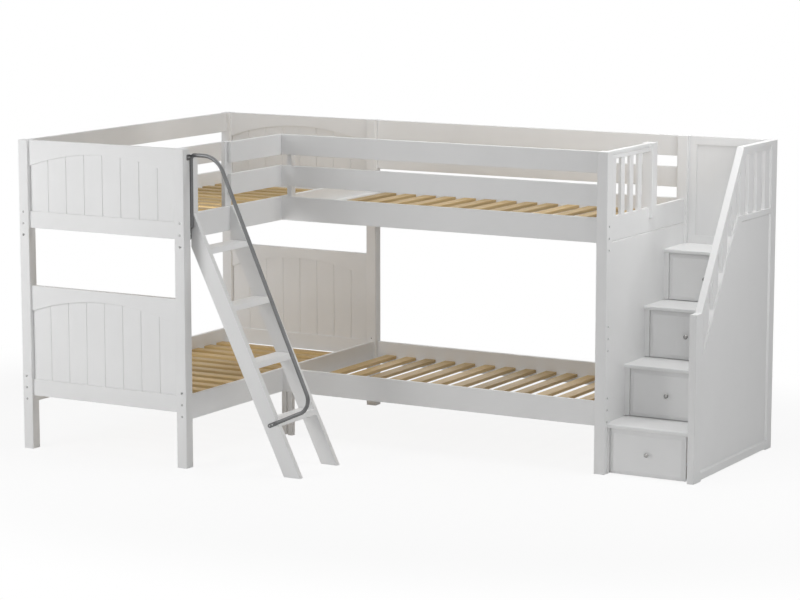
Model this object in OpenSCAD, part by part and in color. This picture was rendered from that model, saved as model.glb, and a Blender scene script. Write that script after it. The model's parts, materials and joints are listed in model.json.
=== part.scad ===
// L-shaped bunk bed: a left bunk that runs into the room and a right bunk that
// meets it at the corner, with a leaning ladder and its metal handrail on the
// left, and a staircase with a drawer under every tread on the right.
//
// Millimetres. The modules are drawn from the front left foot of the left bunk:
// X to the right, Y to the back, Z up. place() then moves the whole to its own
// origin, which is the middle of its footprint on the floor.

/* [Bunks] */
// Width of the left bunk across its posts
bunk_w = 1080; // [940:10:1400]
// Length of the left bunk over its posts
bunk_l = 2045; // [1960:5:2250]
// Length of the right bunk, from the left bunk's side to the end of its posts
right_l = 1985; // [1700:5:2250]
// Width of the right bunk across its posts
right_w = 1080; // [940:10:1300]
// Height of the posts
bunk_h = 1700; // [1620:10:1900]
// Side of the square posts
post_w = 62; // [56:1:75]
// Chamfer along the edges of the posts
post_edge = 3; // [1:0.5:5]
// How far rails and panels are set back from the faces of the posts
face_recess = 16; // [10:1:20]

/* [Rails and guards] */
// Thickness of bed rails and guard boards
board_t = 22; // [18:1:25]
// Chamfer along the edges of boards and slats
board_edge = 2; // [1:0.5:3]
// Height of a bed rail
rail_h = 131; // [110:1:150]
// Underside of the lower bed rails above the floor
lower_rail_z = 254; // [200:1:300]
// Height of a guard board
guard_h = 113; // [90:1:120]
// Gap between guard boards, and above the upper bed rail
guard_gap = 60; // [40:1:75]

/* [End panels] */
// Underside of the lower end panels above the floor
lower_panel_z = 297; // [250:1:350]
// Height of the lower end panels
lower_panel_h = 608; // [500:1:650]
// Thickness of the panel rails
panel_t = 30; // [26:1:36]
// Height of an arched top rail at the middle of its arch
arch_rail_h = 60; // [45:1:80]
// Rise of the arch from its ends to its middle
arch_rise = 80; // [40:1:100]
// Height of the bottom rail of a panel
panel_rail_h = 90; // [60:1:110]
// Number of upright boards in a panel
panel_boards = 8; // [5:1:11]
// Thickness of the upright boards
panel_board_t = 12; // [9:1:14]
// Depth of the groove that the boards stand in
panel_tongue = 8; // [5:1:12]
// Chamfer on the upright boards, which makes the V groove between two
panel_vee = 3; // [1:0.5:4]
// Gap between two upright boards
panel_gap = 0.5; // [0.3:0.1:1]

/* [Slats] */
// Width of a slat
slat_w = 92; // [70:1:100]
// Gap between slats
slat_gap = 40; // [30:1:60]
// Thickness of a slat
slat_t = 18; // [15:1:22]
// Top of the slats below the top of the bed rails
slat_drop = 75; // [60:1:82]
// Width of the cleats that carry the slats
cleat_w = 22; // [18:1:30]
// Height of the cleats
cleat_h = 30; // [18:1:34]
// Play of the slats between the rails, at each end
slat_play = 1; // [0.5:0.5:3]

/* [Corner] */
// Distance from the left bunk's side rail to the first slat of the right bunk
corner_gap = 55; // [50:1:70]
// Width of the upright cleat behind the right bunk's front boards
corner_cleat_w = 30; // [20:1:32]
// Depth of the upright cleat
corner_cleat_d = 42; // [30:1:60]
// Gap between the left bunk's side and the upright cleat
corner_cleat_x = 22; // [10:1:22]
// Top of the upright cleat below the top of the posts
corner_cleat_drop = 10; // [2:1:30]
// Side of the square legs under the corner
corner_leg_w = 30; // [25:1:35]
// Distance of the leg under the left bunk's rail behind the right bunk's front
corner_leg_set = 12; // [0:1:20]
// Gap of the corner's deck board and cleats to what they meet
corner_play = 2; // [1:0.5:3]

/* [Ladder opening] */
// Width of the upright board beside the near post
near_board_w = 98; // [60:1:110]
// Top of that board below the top of the posts
near_board_drop = 35; // [10:1:60]
// Distance from the near post to the ends of the guard boards
opening_w = 413; // [395:1:460]
// Width of the upright behind the ends of the guard boards
guard_post_w = 60; // [40:1:70]
// Thickness of that upright
guard_post_t = 25; // [20:1:28]
// How much of the upright shows past the guard boards
guard_post_show = 24; // [10:1:30]
// Gap between the foot of that upright and the slats
guard_post_gap = 4; // [2:1:10]

/* [Ladder] */
// Width of the ladder over its stiles
ladder_w = 400; // [380:1:410]
// Distance from the end of the bunk to the near stile
ladder_y = 90; // [88:1:100]
// Thickness of a stile
stile_t = 28; // [22:1:32]
// Width of a stile, measured level
stile_w = 100; // [80:1:110]
// Lean of the ladder from upright, in degrees
ladder_lean = 25.7; // [18:0.1:28]
// Width of the flat cut at the top of a stile
stile_top = 15; // [8:1:25]
// Number of rungs
rungs = 4; // [3:1:5]
// Top of the highest rung below the top of the bed rail
top_rung_drop = 182; // [165:1:230]
// Thickness of a rung
rung_t = 28; // [22:1:32]
// Depth of a rung
rung_d = 90; // [60:1:95]

/* [Ladder handrail] */
// Diameter of the tube
tube_d = 21; // [18:1:24]
// Level top of the tube below the top of the posts
tube_drop = 35; // [20:1:100]
// Foot of the tube's upright part below the top of the bed rail
tube_foot_drop = 64; // [34:1:74]
// Gap between the tube and the wood it passes
tube_standoff = 3; // [1:0.5:5]
// Distance of the tube before the ladder's front, level with the ladder's top
tube_reach = 302; // [280:1:330]
// Lean of the sloping part of the tube from upright, in degrees
tube_lean = 24.1; // [20:0.1:28]
// Radius of the bend at the post
tube_bend_top = 25; // [20:1:40]
// Radius of the bend at the start of the slope
tube_bend_mid = 130; // [80:1:140]
// Radius of the bend at the foot of the slope
tube_bend_low = 80; // [50:1:90]
// Height where the tube's lower end crosses the front of the ladder
tube_end_z = 290; // [250:1:400]
// Distance of that end before the front of the ladder
tube_end_gap = 12; // [12:1:25]
// Length over which an end changes from round to flat
tube_press_l = 25; // [20:1:35]
// Thickness of the flattened ends and of the bracket
tab_t = 4; // [3:0.5:5]
// Length of a flattened end
tab_l = 48; // [35:1:60]
// Length of the bracket on the post
bracket_l = 34; // [25:1:45]
// Height of the bracket
bracket_h = 30; // [20:1:40]

/* [End guard] */
// Distance from the front end post to the guard post at the top of the stairs
end_guard_l = 496; // [430:1:560]
// Height of the top rail of the end guard
end_rail_h = 45; // [35:1:60]
// Number of balusters in the end guard
end_balusters = 4; // [3:1:4]
// Width of a baluster of the end guard
end_baluster_w = 44; // [25:1:50]
// Thickness of a baluster of the end guard
end_baluster_t = 18; // [16:1:20]
// Distance between the middles of the balusters
end_baluster_pitch = 107; // [95:1:110]
// Gap between the end post and the first baluster
end_baluster_gap = 36; // [20:1:45]
// Height of the groove along the outer face of the end guard's rail
end_groove_h = 9; // [5:1:12]
// Depth of this groove
end_groove_d = 6; // [3:1:8]
// Distance of this groove from the rail's top
end_groove_drop = 15; // [12:1:20]
// Depth of the V joint between the end board and the wall below it
wall_vee = 5; // [3:1:8]
// How far the guard post laps down over the end board
end_post_lap = 58; // [40:1:90]

/* [Staircase] */
// Width of the staircase, from the end posts to the outside
stair_w = 500; // [450:5:600]
// Distance of the staircase front behind the face of the end post
stair_set = 20; // [10:1:40]
// Height of the first tread
first_rise = 268; // [240:1:280]
// Top of the last tread below the top of the bed rail
last_rise = 246; // [200:1:290]
// Distance of the first nosing behind the front of the staircase
nosing_set = 5; // [0:1:15]
// Depth from one nosing to the next
tread_going = 243; // [220:1:255]
// Thickness of a tread
tread_t = 20; // [16:1:24]
// Overhang of the nosing before the drawer front
nosing = 10; // [5:1:15]
// Rounding of the nosing's two edges
nosing_round = 5; // [2:1:7]
// Thickness of the wall between bunk and stairs
wall_t = 22; // [18:1:25]
// Gap between the floor and the walls and lower rails
floor_gap = 8; // [4:1:12]

/* [Staircase side] */
// Thickness of the side frame
side_t = 38; // [32:1:45]
// Width of the front stile
newel_w = 94; // [80:1:110]
// Height of the front stile with its cap
newel_h = 887; // [800:1:950]
// Width of the level part of the cap on the front stile
newel_flat = 70; // [50:1:78]
// Width of the back stile
back_stile_w = 74; // [60:1:90]
// Rise of the handrail and the stringer for each unit of run
rake = 1.56; // [1.4:0.02:1.7]
// Thickness of the handrail cap
cap_t = 20; // [15:1:25]
// Depth of the rail under the cap
subrail_d = 25; // [20:1:35]
// Thickness of the rail under the cap
subrail_t = 22; // [18:1:30]
// Distance from the top of the handrail square down to the stringer
stringer_drop = 144; // [130:1:160]
// Width of the stringer
stringer_w = 64; // [50:1:75]
// Underside of the level middle rail below the top of the bed rail
mid_rail_drop = 55; // [34:1:84]
// Height of the level middle rail
mid_rail_h = 36; // [30:1:60]
// Top of the bottom rail above the floor
bottom_rail_top = 55; // [40:1:90]
// Thickness of the side panel
side_panel_t = 28; // [18:1:32]
// Width of the moulded edge of the frame round the side panel
side_mould_w = 9; // [4:1:14]
// Number of balusters
side_balusters = 8; // [7:1:8]
// Width of a baluster
side_baluster_w = 63; // [50:1:66]
// Thickness of a baluster
side_baluster_t = 18; // [14:1:24]
// Setback of the balusters from the outside
side_baluster_set = 12; // [8:1:14]
// Distance from one baluster to the next
side_baluster_pitch = 114; // [108:1:114]

/* [Staircase back] */
// Thickness of the back panel
back_t = 24; // [20:1:30]
// Depth of the sunk fields in the back panel
back_sunk = 8; // [5:1:9]
// Width of the frame round the sunk fields
back_frame_w = 45; // [30:1:60]

/* [Drawers] */
// Width of the filler between the bunk's wall and a drawer front
wall_filler_w = 27; // [20:1:35]
// Distance of a drawer box from the side frame
drawer_inset = 19; // [17:1:25]
// Gap above a drawer front
drawer_gap_top = 3; // [2:0.5:6]
// Gap between a tread and the drawer front above it
drawer_gap_low = 3; // [2:0.5:8]
// Gap between the floor and the lowest drawer front
drawer_floor_gap = 6; // [4:1:12]
// Thickness of a drawer front
front_t = 18; // [15:1:22]
// Width of the bevel round a drawer front
bevel_w = 22; // [10:1:30]
// Depth of the bevel
bevel_d = 8; // [4:1:10]
// Greatest depth of a drawer box
box_d = 700; // [500:10:700]
// Gap between a drawer box and the back panel
box_back_gap = 8; // [5:1:40]
// Wall thickness of a drawer box
box_t = 12; // [12:1:16]
// Thickness of a drawer bottom
box_floor_t = 8; // [6:1:12]
// Bottom of the box above the bottom of the front
box_lift = 12; // [8:1:20]
// Top of the box below the top of the front
box_drop = 28; // [20:1:50]
// Height of the runners
runner_h = 14; // [12:1:18]
// Height of a runner above the bottom of its box
runner_z = 70; // [40:1:90]
// Depth of the groove in the side of a box
groove_d = 6; // [4:1:7]
// Play of a runner in its groove, on each side
runner_play = 0.5; // [0.4:0.1:1]
// Play between a drawer and the upright fillers beside it
filler_play = 2; // [1.5:0.5:3]
// Setback of the filler on the side frame behind a drawer front
filler_set = 3; // [2:1:5]
// Depth of the fillers behind a drawer front
filler_d = 20; // [15:1:30]
// Diameter of a knob
knob_d = 24; // [20:1:30]
// Length of a knob
knob_l = 25; // [20:1:32]
// Diameter of a knob's foot
knob_foot_d = 14; // [12:1:18]
// Diameter of a knob's neck
knob_neck_d = 9; // [7:1:12]

/* [Bolts] */
// Diameter of a bolt's shank
bolt_d = 8; // [6:1:10]
// Diameter of a bolt's head
bolt_head_d = 13; // [12:1:15]
// Height of a bolt's head
bolt_head_h = 6; // [4:1:7]
// Depth of the counterbore
bolt_sink = 8; // [7:1:12]
// Play of the shank in its hole, on each side
bolt_play = 0.2; // [0.1:0.1:0.5]
// Play of the head in its counterbore, on each side
head_play = 0.5; // [0.3:0.1:1]
// Length of the shank in the end of the rail
bolt_grip = 50; // [30:1:60]
// Height of the first bolt above the underside of its rail
bolt_first = 24; // [20:1:30]
// Distance between two bolts
bolt_pitch = 63; // [50:1:70]
// Height of the first of the spare holes in the front end post
spare_hole_z = 656; // [500:1:700]

/* [Hidden] */

$fn = 48;
arch_fn = 360;
hull_fn = 32;
// How far a cut runs past the face that it leaves
over = 1;
// How far two parts of one solid run into each other
lap = 1;

white = "#eceae6";
tan_wood = "#c8a060";
steel_grey = "#77787a";
knob_metal = "#8a8a88";
zinc = "#8d8d8b";

// Places across the bunks
right_x = bunk_w - face_recess;
side_in_x = right_x - board_t;
right_front_y = bunk_l - right_w;
end_x = bunk_w + right_l;
end_post_x = end_x - post_w;
front_face_y = right_front_y + face_recess;
front_in_y = front_face_y + board_t;
back_face_y = bunk_l - face_recess;
back_in_y = back_face_y - board_t;
total_l = end_x + stair_w;

// Levels
upper_rail_z = bunk_h - 2 * (guard_h + guard_gap) - rail_h;
rail_levels = [lower_rail_z, upper_rail_z];
guard_levels = [upper_rail_z + rail_h + guard_gap, bunk_h - guard_h];
rail_top = upper_rail_z + rail_h;
function slat_z(rail_z) = rail_z + rail_h - slat_drop - slat_t;

// End panels
panel_w = bunk_w - 2 * post_w;
arch_half = panel_w / 2;
arch_r = (arch_half * arch_half + arch_rise * arch_rise) / (2 * arch_rise);

// Ladder
rung_pitch = (rail_top - top_rung_drop) / rungs;
lean_run = tan(ladder_lean);
stile_front_x = right_x + stile_top + rail_top * lean_run;
function ladder_front(z) = stile_front_x - z * lean_run;

// Staircase, with a drawer under each tread
treads = 4;
tread_rise = (rail_top - last_rise - first_rise) / (treads - 1);
wall_x = end_x - face_recess - wall_t;
wall_face_x = wall_x + wall_t;
side_in = end_x + stair_w - side_t;
stair_y = right_front_y + stair_set;
nosing_y = stair_y + nosing_set;
stair_back_y = bunk_l - face_recess - back_t;
function tread_top(i) = first_rise + i * tread_rise;
function tread_front(i) = nosing_y + i * tread_going;

// Handrail: the rake starts at the back of the cap's level part
rake_y = stair_y + newel_flat;
slant = sqrt(1 + rake * rake);
function rake_z(y, drop) = newel_h + rake * (y - rake_y) - drop * slant;
function rake_at(z, drop) = rake_y + (z - newel_h + drop * slant) / rake;
function rail_line(drop, back) =
    [[stair_y, newel_h - drop],
     [rake_at(newel_h - drop, drop), newel_h - drop],
     [rake_at(bunk_h - drop, drop), bunk_h - drop],
     [back, bunk_h - drop]];
newel_back = stair_y + newel_w;
back_stile_y = bunk_l - back_stile_w;

// Drawers
front_x = wall_face_x + wall_filler_w + filler_play;
front_w = side_in - front_x - drawer_inset + filler_play;
box_x = front_x + filler_play;
box_w = side_in - drawer_inset - box_x;
function drawer_z(i) = i == 0 ? drawer_floor_gap : tread_top(i - 1) + drawer_gap_low;
function front_h(i) = tread_top(i) - tread_t - drawer_gap_top - drawer_z(i);
function front_y(i) = tread_front(i) + nosing;
function box_depth(i) = min(box_d, stair_back_y - box_back_gap - front_y(i) - front_t);
function box_h(i) = front_h(i) - box_lift - box_drop;

// Bolts: [x, y, turn] of each column of bolts, on the face that they enter
function face_y_columns(y, turn) =
    [[face_recess + board_t / 2, y, turn], [right_x - board_t / 2, y, turn]];
front_columns = face_y_columns(0, 0);
rear_columns = face_y_columns(bunk_l, 180);
end_columns = [[end_x, front_face_y + board_t / 2, 90],
               [end_x, back_face_y - board_t / 2, 90]];
bolt_columns = concat(front_columns, rear_columns, end_columns);

module place() {
    translate([-total_l / 2, -bunk_l / 2, 0]) children();
}

// A 2D shape of (Y, Z) points, drawn along X
module along_x(x0, x1) {
    translate([x0, 0, 0]) rotate([90, 0, 90]) linear_extrude(x1 - x0) children();
}

// A 2D shape of (X, Z) points, drawn along Y
module along_y(y0, y1) {
    translate([0, y1, 0]) rotate([90, 0, 0]) linear_extrude(y1 - y0) children();
}

// A 2D shape of (X, Y) points, drawn up Z
module along_z(z0, z1) {
    translate([0, 0, z0]) linear_extrude(z1 - z0) children();
}

// A rectangle from its low corner, with its corners cut off
module eased(x, y, w, h, c) {
    polygon([[x + c, y], [x + w - c, y], [x + w, y + c], [x + w, y + h - c],
             [x + w - c, y + h], [x + c, y + h], [x, y + h - c], [x, y + c]]);
}

module box_between(low, high) {
    translate(low) cube(high - low);
}

// One bolt or its hole, entering the face at the origin along +Y
module bolt_shape(head_r, head_top, shank_r, depth) {
    rotate([-90, 0, 0]) {
        translate([0, 0, bolt_sink - head_top]) cylinder(h = head_top, r = head_r);
        translate([0, 0, bolt_sink - lap]) cylinder(h = depth - bolt_sink + lap, r = shank_r);
    }
}

module bolt_hole(depth) {
    bolt_shape(bolt_head_d / 2 + head_play, bolt_sink + over, bolt_d / 2 + bolt_play, depth);
}

module bolt() {
    bolt_shape(bolt_head_d / 2, bolt_head_h, bolt_d / 2, post_w + bolt_grip);
}

module at_column(column, z) {
    translate([column[0], column[1], z]) rotate([0, 0, column[2]]) children();
}

// The heights of the bolts of one rail
function bolt_heights(rail_z) = [rail_z + bolt_first, rail_z + bolt_first + bolt_pitch];
// The spare hole of a row: under the upper rail's bolts, over the lower rail's
spare_heights = [upper_rail_z + bolt_first - bolt_pitch,
                 lower_rail_z + bolt_first + 2 * bolt_pitch];

// A post from its low corner, with the holes of the columns that enter it
module post(x, y, columns, extra) {
    color(white) place() difference() {
        along_z(0, bunk_h) eased(x, y, post_w, post_w, post_edge);
        for (column = columns) {
            for (rail_z = rail_levels)
                for (z = bolt_heights(rail_z)) at_column(column, z) bolt_hole(post_w + over);
            for (z = concat(spare_heights, extra)) at_column(column, z) bolt_hole(post_w + over);
        }
    }
}

module post_front_left() { post(0, 0, [front_columns[0]], []); }
module post_front_right() { post(bunk_w - post_w, 0, [front_columns[1]], []); }
module post_rear_left() { post(0, bunk_l - post_w, [rear_columns[0]], []); }
module post_rear_right() { post(bunk_w - post_w, bunk_l - post_w, [rear_columns[1]], []); }
module end_post_front() {
    post(end_post_x, right_front_y, [end_columns[0]],
         [spare_hole_z, spare_hole_z + bolt_pitch, spare_hole_z + 2 * bolt_pitch]);
}
module end_post_rear() { post(end_post_x, bunk_l - post_w, [end_columns[1]], []); }

// The space under the arch of a panel's top rail, lifted by the depth of a groove
module under_arch(z, h, lift) {
    crown = z + h - arch_rail_h + lift;
    intersection() {
        translate([bunk_w / 2, crown - arch_r]) circle(r = arch_r, $fn = arch_fn);
        translate([post_w, z]) square([panel_w, h]);
    }
}

// A panel's arched top rail and bottom rail, grooved for the upright boards
module panel_rails(y, z, h) {
    board_y = y + (panel_t - panel_board_t) / 2;
    color(white) place() difference() {
        along_y(y, y + panel_t) {
            difference() {
                translate([post_w, z + panel_rail_h + lap])
                    square([panel_w, h - panel_rail_h - lap]);
                under_arch(z, h, 0);
            }
            translate([post_w, z]) square([panel_w, panel_rail_h]);
        }
        along_y(board_y, board_y + panel_board_t) difference() {
            under_arch(z, h, panel_tongue);
            translate([0, z - over])
                square([bunk_w, panel_rail_h - panel_tongue + over]);
        }
    }
}

// The upright boards of a panel, with a V groove between each two
module panel_uprights(y, z, h) {
    board_y = y + (panel_t - panel_board_t) / 2;
    pitch = panel_w / panel_boards;
    low = z + panel_rail_h - panel_tongue;
    color(white) place() intersection() {
        for (i = [0 : panel_boards - 1])
            along_z(low, z + h)
                eased(post_w + i * pitch + panel_gap / 2, board_y,
                      pitch - panel_gap, panel_board_t, panel_vee);
        along_y(board_y - over, board_y + panel_board_t + over) under_arch(z, h, panel_tongue);
    }
}

front_panel_y = face_recess;
rear_panel_y = bunk_l - face_recess - panel_t;
upper_panel_h = bunk_h - upper_rail_z;

module front_upper_panel_rails() { panel_rails(front_panel_y, upper_rail_z, upper_panel_h); }
module front_upper_panel_boards() { panel_uprights(front_panel_y, upper_rail_z, upper_panel_h); }
module front_lower_panel_rails() { panel_rails(front_panel_y, lower_panel_z, lower_panel_h); }
module front_lower_panel_boards() { panel_uprights(front_panel_y, lower_panel_z, lower_panel_h); }
module rear_upper_panel_rails() { panel_rails(rear_panel_y, upper_rail_z, upper_panel_h); }
module rear_upper_panel_boards() { panel_uprights(rear_panel_y, upper_rail_z, upper_panel_h); }
module rear_lower_panel_rails() { panel_rails(rear_panel_y, lower_panel_z, lower_panel_h); }
module rear_lower_panel_boards() { panel_uprights(rear_panel_y, lower_panel_z, lower_panel_h); }

// Boards on the long sides: left bunk sides run along Y, right bunk sides along X
module left_side_board(z, h) {
    along_y(post_w, bunk_l - post_w) eased(face_recess, z, board_t, h, board_edge);
}
module right_side_board(z, h, y0, y1) {
    along_y(y0, y1) eased(side_in_x, z, board_t, h, board_edge);
}
module front_board(z, h) {
    along_x(right_x, end_post_x) eased(front_face_y, z, board_t, h, board_edge);
}
module back_board(z, h) {
    along_x(bunk_w, end_post_x) eased(back_in_y, z, board_t, h, board_edge);
}

module rail_bores(columns, rail_z) {
    for (column = columns)
        for (z = bolt_heights(rail_z)) at_column(column, z) bolt_hole(post_w + bolt_grip + over);
}

module left_bunk_rails(rail_z) {
    color(white) place() difference() {
        union() {
            left_side_board(rail_z, rail_h);
            right_side_board(rail_z, rail_h, post_w, bunk_l - post_w);
        }
        rail_bores(concat(front_columns, rear_columns), rail_z);
    }
}

module right_bunk_rails(rail_z) {
    color(white) place() difference() {
        union() {
            front_board(rail_z, rail_h);
            back_board(rail_z, rail_h);
        }
        rail_bores(end_columns, rail_z);
    }
}

module left_bunk_upper_rails() { left_bunk_rails(upper_rail_z); }
module left_bunk_lower_rails() { left_bunk_rails(lower_rail_z); }
module right_bunk_upper_rails() { right_bunk_rails(upper_rail_z); }
module right_bunk_lower_rails() { right_bunk_rails(lower_rail_z); }

module left_guard_boards() {
    color(white) place() for (z = guard_levels) left_side_board(z, guard_h);
}
module entry_guard_boards() {
    color(white) place()
        for (z = guard_levels) right_side_board(z, guard_h, post_w + opening_w, front_in_y);
}
module front_guard_boards() {
    color(white) place() for (z = guard_levels) front_board(z, guard_h);
}
module back_guard_boards() {
    color(white) place() for (z = guard_levels) back_board(z, guard_h);
}

// The board beside the near post and the upright behind the guard boards' ends
module entry_guard_posts() {
    show_y = post_w + opening_w - guard_post_show;
    foot_z = slat_z(upper_rail_z) + slat_t + guard_post_gap;
    color(white) place() {
        along_z(rail_top, bunk_h - near_board_drop)
            eased(side_in_x, post_w, board_t, near_board_w, board_edge);
        along_z(foot_z, bunk_h)
            eased(side_in_x - guard_post_t, show_y, guard_post_t, guard_post_w, board_edge);
    }
}

// Slats of the left bunk lie along X, those of the right bunk along Y
slat_pitch = slat_w + slat_gap;
left_room = bunk_l - 2 * post_w;
left_slats = floor((left_room + slat_gap) / slat_pitch);
left_slat_y = post_w + (left_room - left_slats * slat_pitch + slat_gap) / 2;
right_slat_x = right_x + corner_gap;
right_slats = floor((end_post_x - right_slat_x + slat_gap) / slat_pitch);

module left_slats_at(z) {
    color(tan_wood) place()
        for (i = [0 : left_slats - 1])
            along_x(face_recess + board_t + slat_play, side_in_x - slat_play)
                eased(left_slat_y + i * slat_pitch, z, slat_w, slat_t, board_edge);
}
module right_slats_at(z) {
    color(tan_wood) place()
        for (i = [0 : right_slats - 1])
            along_y(front_in_y + slat_play, back_in_y - slat_play)
                eased(right_slat_x + i * slat_pitch, z, slat_w, slat_t, board_edge);
}

module left_upper_slats() { left_slats_at(slat_z(upper_rail_z)); }
module left_lower_slats() { left_slats_at(slat_z(lower_rail_z)); }
module right_upper_slats() { right_slats_at(slat_z(upper_rail_z)); }
module right_lower_slats() { right_slats_at(slat_z(lower_rail_z)); }

// Corner: the upright cleat stands behind the front boards of the right bunk
cleat_x = right_x + corner_cleat_x;
cleat_end_x = cleat_x + corner_cleat_w;
corner_back_y = front_in_y + corner_cleat_d;
deck_y = corner_back_y + corner_play;
deck_end_y = bunk_l - post_w - corner_play;

module slat_cleats() {
    color(white) place() {
        for (rail_z = rail_levels) {
            z = slat_z(rail_z) - cleat_h;
            box_between([face_recess + board_t, post_w, z],
                        [face_recess + board_t + cleat_w, bunk_l - post_w, z + cleat_h]);
            box_between([side_in_x - cleat_w, post_w, z],
                        [side_in_x, bunk_l - post_w, z + cleat_h]);
            box_between([cleat_end_x + corner_play, front_in_y, z],
                        [end_post_x, front_in_y + cleat_w, z + cleat_h]);
            box_between([bunk_w, back_in_y - cleat_w, z],
                        [end_post_x, back_in_y, z + cleat_h]);
        }
        deck_z = slat_z(upper_rail_z) - cleat_h;
        box_between([right_x, deck_y, deck_z],
                    [right_x + cleat_w, deck_end_y - cleat_w - corner_play, deck_z + cleat_h]);
    }
}

module corner_supports() {
    color(white) place() {
        along_z(upper_rail_z, bunk_h - corner_cleat_drop)
            eased(cleat_x, front_in_y, corner_cleat_w, corner_cleat_d, board_edge);
        along_z(0, lower_rail_z)
            eased(right_x - corner_leg_w, front_in_y + corner_leg_set, corner_leg_w, corner_leg_w,
                  board_edge);
        along_z(0, slat_z(lower_rail_z))
            eased(bunk_w, front_in_y, corner_leg_w, corner_leg_w, board_edge);
    }
}

module corner_deck_board() {
    z = slat_z(upper_rail_z);
    color(white) place()
        along_y(deck_y, deck_end_y)
            eased(right_x, z, corner_gap - 2 * corner_play, slat_t, board_edge);
}

// End of the right bunk: the board under the opening, the wall below it, the guard
module end_wall_board() {
    color(white) place() difference() {
        along_x(wall_x, wall_face_x)
            eased(right_front_y + post_w, upper_rail_z, right_w - 2 * post_w, rail_h, board_edge);
        wall_joint();
    }
}

// What the V joint takes off the end board and the wall
module wall_joint() {
    along_y(right_front_y, bunk_l)
        polygon([[wall_face_x - wall_vee, upper_rail_z],
                 [wall_face_x + over, upper_rail_z - wall_vee - over],
                 [wall_face_x + over, upper_rail_z + wall_vee + over]]);
}

guard_end_y = right_front_y + post_w + end_guard_l;

module end_guard_rail() {
    groove_top = bunk_h - end_groove_drop;
    color(white) place()
        along_y(right_front_y + post_w, guard_end_y) difference() {
            eased(wall_x, bunk_h - end_rail_h, wall_t, end_rail_h, board_edge);
            translate([wall_face_x - end_groove_d, groove_top - end_groove_h])
                square([end_groove_d + over, end_groove_h]);
        }
}

module end_guard_balusters() {
    first_y = right_front_y + post_w + end_baluster_gap;
    x = wall_x + (wall_t - end_baluster_t) / 2;
    color(white) place()
        for (i = [0 : end_balusters - 1])
            along_z(rail_top, bunk_h - end_rail_h)
                eased(x, first_y + i * end_baluster_pitch, end_baluster_t,
                      end_baluster_w, board_edge);
}

module end_guard_post() {
    color(white) place() difference() {
        along_z(rail_top - end_post_lap, bunk_h)
            eased(end_post_x, guard_end_y, post_w, post_w, post_edge);
        box_between([wall_x, guard_end_y - over, rail_top - end_post_lap - over],
                    [wall_face_x, guard_end_y + post_w + over, rail_top]);
    }
}

module stair_inner_wall() {
    color(white) place() difference() {
        along_x(wall_x, wall_face_x)
            eased(right_front_y + post_w, floor_gap, right_w - 2 * post_w,
                  upper_rail_z - floor_gap, board_edge);
        wall_joint();
    }
}

// The side frame of the staircase, in its own plane of (Y, Z) points
module stair_side_stiles() {
    under_cap = rail_line(cap_t, bunk_l);
    color(white) place() difference() {
        along_x(side_in, side_in + side_t) {
            intersection() {
                translate([stair_y, 0]) square([newel_w, bunk_h]);
                polygon([[0, 0], [0, newel_h - cap_t], under_cap[1], under_cap[2], [bunk_l, 0]]);
            }
            translate([back_stile_y, 0]) square([back_stile_w, bunk_h - cap_t]);
        }
        side_moulding();
    }
}

mid_rail_z = rail_top - mid_rail_drop;
mid_rail_top = mid_rail_z + mid_rail_h;
stringer_low = stringer_drop + stringer_w;

module stair_side_rails() {
    color(white) place() difference() {
        along_x(side_in, side_in + side_t) {
            polygon([[newel_back, rake_z(newel_back, stringer_low)],
                     [newel_back, rake_z(newel_back, stringer_drop)],
                     [rake_at(mid_rail_top, stringer_drop), mid_rail_top],
                     [back_stile_y, mid_rail_top],
                     [back_stile_y, mid_rail_z],
                     [rake_at(mid_rail_z, stringer_low), mid_rail_z]]);
            translate([newel_back, floor_gap])
                square([back_stile_y - newel_back, bottom_rail_top - floor_gap]);
        }
        side_moulding();
    }
}

// The opening in the side frame that the panel fills
module side_opening() {
    polygon([[newel_back, bottom_rail_top],
             [newel_back, rake_z(newel_back, stringer_low)],
             [rake_at(mid_rail_z, stringer_low), mid_rail_z],
             [back_stile_y, mid_rail_z],
             [back_stile_y, bottom_rail_top]]);
}

// What the moulded edge takes off the frame: it slopes from the face down to the panel
module side_moulding() {
    panel_x = side_in + side_panel_t;
    face_x = side_in + side_t;
    hull() {
        along_x(panel_x - lap, panel_x) side_opening();
        along_x(face_x, face_x + over) offset(delta = side_mould_w) side_opening();
    }
}

module stair_side_panel() {
    color(white) place() along_x(side_in, side_in + side_panel_t) side_opening();
}

// The band between two lines of the handrail
module rail_band(drop_top, drop_low, back) {
    top = rail_line(drop_top, back);
    low = rail_line(drop_low, back);
    polygon(concat(top, [low[3], low[2], low[1], low[0]]));
}

module stair_handrail() {
    subrail_x = side_in + (side_t - subrail_t) / 2;
    color(white) place() {
        along_x(side_in, side_in + side_t) rail_band(0, cap_t, bunk_l);
        along_x(subrail_x, subrail_x + subrail_t) intersection() {
            rail_band(cap_t - lap, cap_t + subrail_d, back_stile_y);
            translate([newel_back, 0]) square([back_stile_y - newel_back, bunk_h]);
        }
    }
}

module stair_balusters() {
    x1 = side_in + side_t - side_baluster_set;
    first_y = back_stile_y - (side_balusters - 1) * side_baluster_pitch - side_baluster_w;
    under_rail = rail_line(cap_t + subrail_d, back_stile_y);
    color(white) place() along_x(x1 - side_baluster_t, x1) intersection() {
        for (i = [0 : side_balusters - 1])
            translate([first_y + i * side_baluster_pitch, 0])
                square([side_baluster_w, bunk_h]);
        polygon([[newel_back, rake_z(newel_back, stringer_drop)],
                 [rake_at(mid_rail_top, stringer_drop), mid_rail_top],
                 [back_stile_y, mid_rail_top],
                 under_rail[3], under_rail[2],
                 [newel_back, rake_z(newel_back, cap_t + subrail_d)]]);
    }
}

// The room that the two end posts take from the staircase
module end_post_room() {
    for (y = [right_front_y, bunk_l - post_w])
        box_between([end_post_x, y - over, 0], [end_x, y + post_w, bunk_h]);
}

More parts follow.
